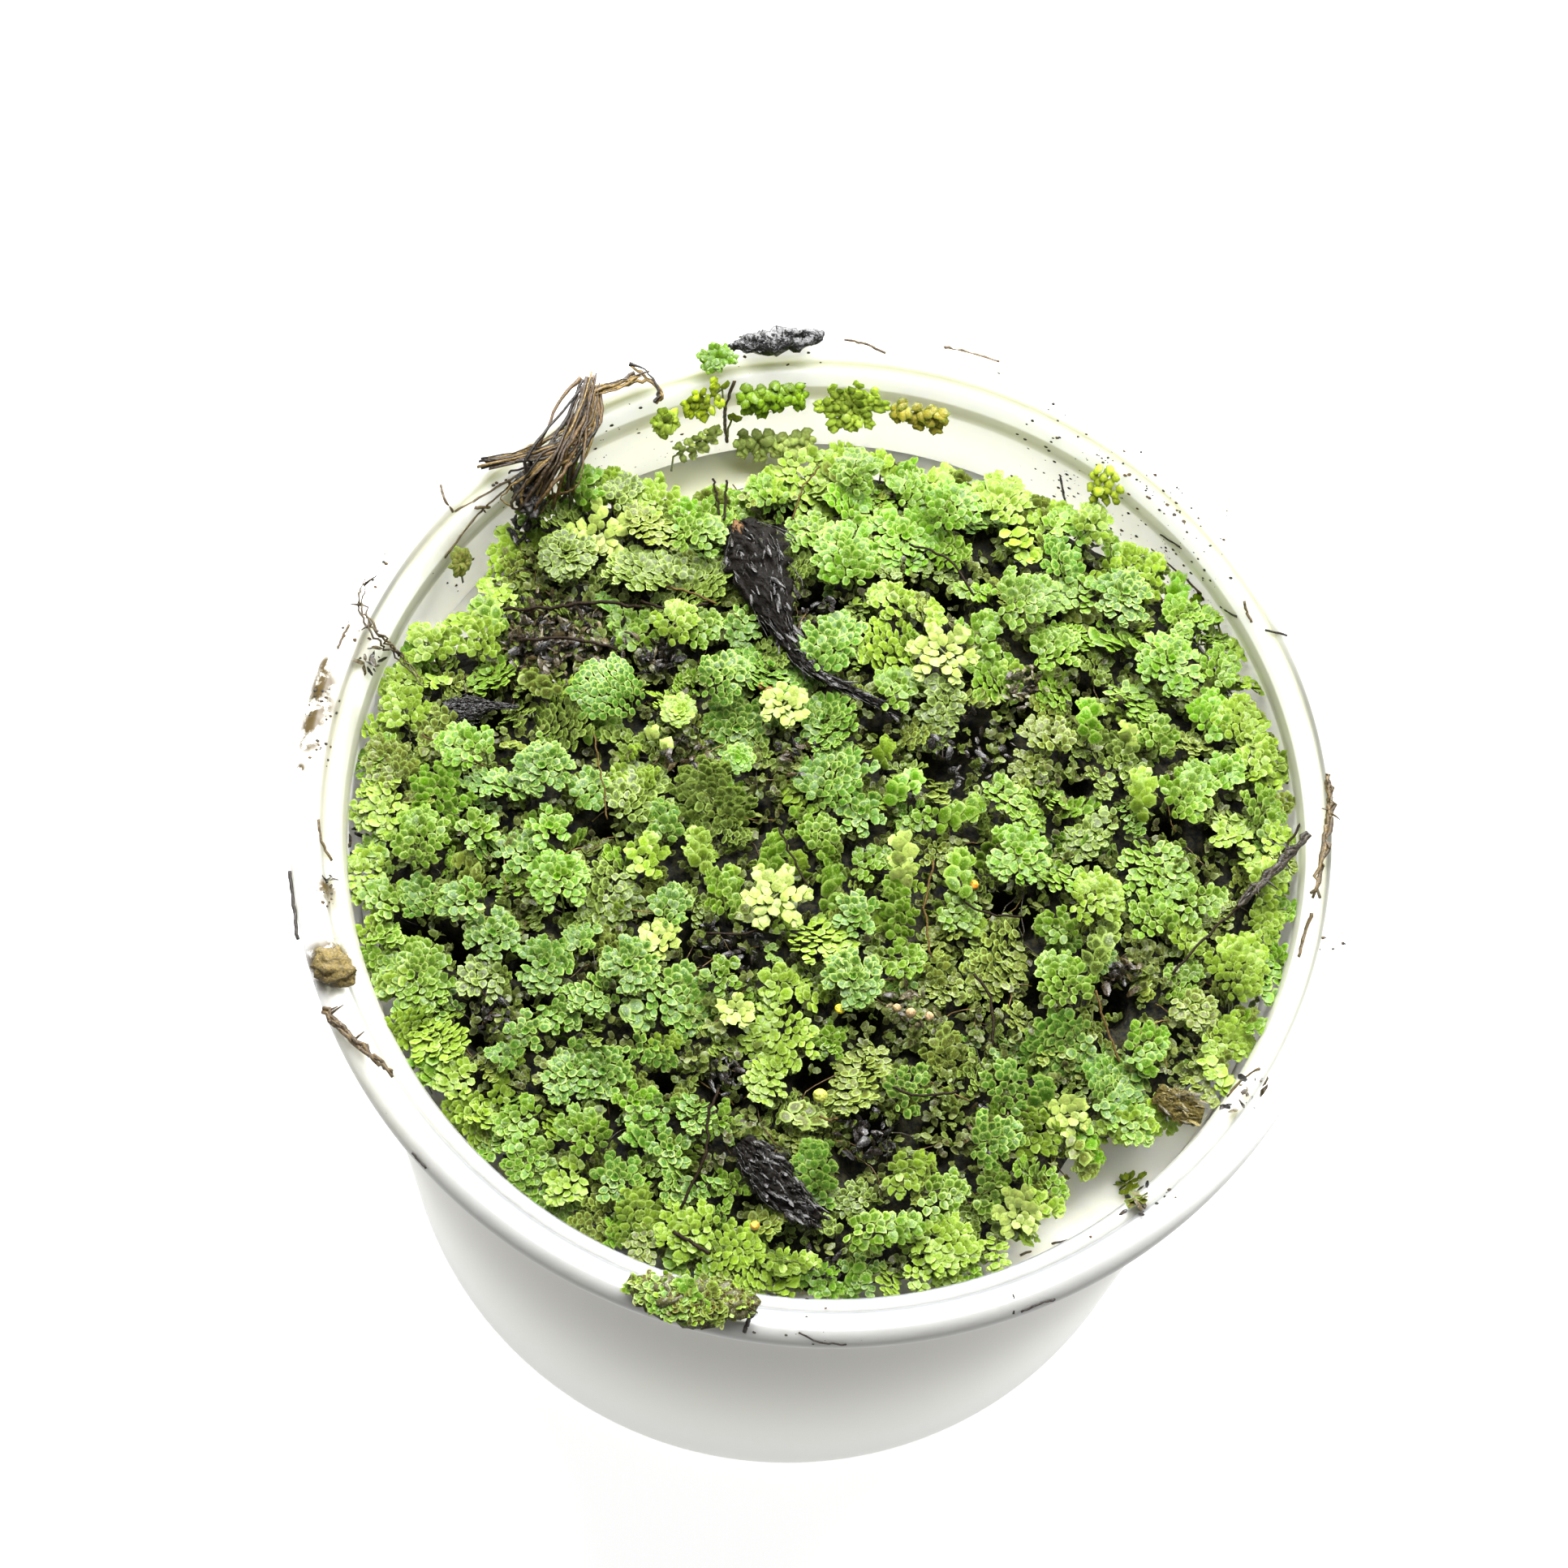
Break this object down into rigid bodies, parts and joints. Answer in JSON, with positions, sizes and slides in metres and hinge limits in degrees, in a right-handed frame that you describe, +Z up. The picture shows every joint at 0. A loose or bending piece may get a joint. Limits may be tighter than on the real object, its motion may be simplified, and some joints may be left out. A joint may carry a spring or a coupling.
{
  "type": "mosquito fern in a culture cup",
  "caption": "Low mat of mosquito fern plantlets on pale gel in a round milky plastic culture cup with a rolled rim, open at the top.",
  "frame": {"origin": "on the table under the middle of the cup", "axes": "+Z up along the cup's axis, -Y towards the viewer, +X to the viewer's right"},
  "size_m": [0.082, 0.082, 0.0823],
  "materials": {
    "milky_plastic": "milky, slightly see-through moulded polypropylene, satin",
    "culture_gel": "pale wet culture gel",
    "fern_mat": "velvety green leaves, darker between them",
    "bright_frond": "velvety bright green with pale leaf edges",
    "fresh_frond": "velvety green with pale leaf edges",
    "blue_frond": "velvety blue-green with frosted leaf edges",
    "yellow_frond": "velvety yellow-green",
    "pale_frond": "velvety cream-green",
    "grey_frond": "velvety grey-green",
    "brown_frond": "wilted olive-brown",
    "brown_root": "wet brown fibres",
    "wet_twig": "wet dark brown",
    "brown_straw": "dry brown straw",
    "black_leaf": "wet black dead leaf, glossy",
    "brown_leaf": "brown dead leaf",
    "wet_bark": "wet black bark",
    "golden_soil": "crumbly gold-brown soil",
    "moss_and_soil": "moss mixed with dark soil"
  },
  "bodies": {
    "root": {"cup": "milky_plastic", "culture_medium": "culture_gel", "fern_mat": "fern_mat", "frond_01": "bright_frond", "frond_02": "grey_frond", "frond_03": "fresh_frond", "frond_04": "fresh_frond", "frond_05": "blue_frond", "frond_06": "pale_frond", "frond_07": "fresh_frond", "frond_08": "fresh_frond", "frond_09": "bright_frond", "frond_10": "fresh_frond", "frond_11": "yellow_frond", "frond_12": "blue_frond", "frond_13": "pale_frond", "frond_14": "bright_frond", "frond_15": "blue_frond", "frond_16": "yellow_frond", "frond_17": "bright_frond", "frond_18": "blue_frond", "frond_19": "fresh_frond", "frond_20": "bright_frond", "frond_21": "blue_frond", "frond_22": "blue_frond", "frond_23": "blue_frond", "frond_24": "pale_frond", "frond_25": "bright_frond", "frond_26": "pale_frond", "frond_27": "pale_frond", "frond_28": "yellow_frond", "frond_29": "yellow_frond", "frond_30": "fresh_frond", "frond_31": "blue_frond", "frond_32": "pale_frond", "frond_33": "fresh_frond", "frond_34": "yellow_frond", "frond_35": "fresh_frond", "frond_36": "blue_frond", "wall_frond_1": "yellow_frond", "wall_frond_2": "bright_frond", "wall_frond_3": "bright_frond", "wall_frond_4": "brown_frond", "wall_frond_5": "brown_frond", "wall_frond_6": "blue_frond", "wall_frond_7": "grey_frond", "wall_frond_8": "grey_frond", "wall_frond_9": "bright_frond", "rim_frond": "bright_frond", "root_bundle": "brown_root", "left_twig": "wet_twig", "right_twig": "wet_twig", "near_twig": "brown_straw", "rim_straw": "brown_straw", "dead_leaf": "black_leaf", "near_dead_leaf": "black_leaf", "brown_leaf": "brown_leaf", "bark_chip": "wet_bark", "soil_crumb": "golden_soil", "moss_clump": "moss_and_soil"}
  },
  "joints": []
}
